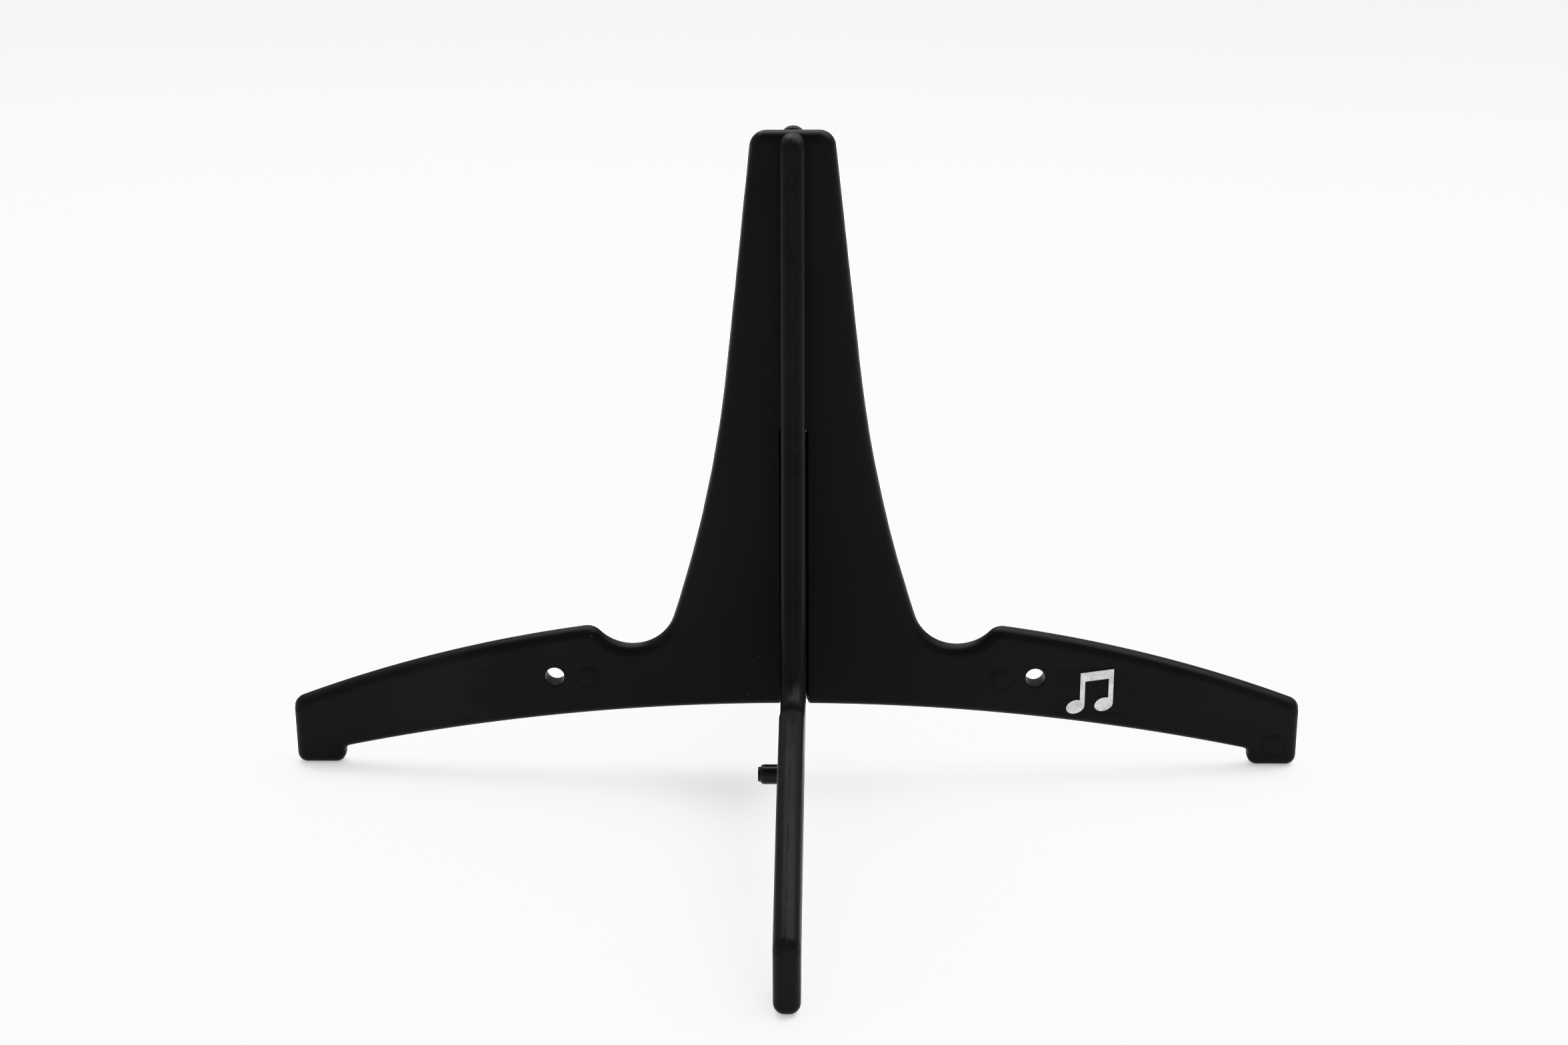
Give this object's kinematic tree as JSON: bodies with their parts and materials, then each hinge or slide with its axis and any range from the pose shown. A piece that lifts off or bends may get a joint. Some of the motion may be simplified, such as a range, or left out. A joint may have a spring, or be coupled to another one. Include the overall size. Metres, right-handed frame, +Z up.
{
  "type": "instrument bell stand",
  "caption": "Black moulded cross stand: a tapered tower and round notches hold a wind instrument's bell, on arched legs. Its halves slot together and lift apart.",
  "frame": {"origin": "on the floor under the crossing of the two panels", "axes": "+Z up; the cross panel lies in the XZ plane with its marked face towards -Y; the leg panel lies in the YZ plane with its pegs towards -X"},
  "size_m": [0.28, 0.28, 0.1776],
  "materials": {
    "panel_plastic": "satin moulded black, smooth faces with a faint parting line along every edge",
    "peg_plastic": "satin moulded black",
    "silver_foil": "thin hot-stamped silver foil on a raised mark"
  },
  "bodies": {
    "leg_panel": {"leg_panel": "panel_plastic", "front_storage_peg": "peg_plastic", "rear_storage_peg": "peg_plastic"},
    "cross_panel": {"cross_panel": "panel_plastic", "note_mark": "silver_foil"}
  },
  "joints": [
    {"name": "lift_off", "type": "slide", "parent": "leg_panel", "child": "cross_panel", "axis": [0, 0, 1], "range_m": [0, 0.165]}
  ]
}
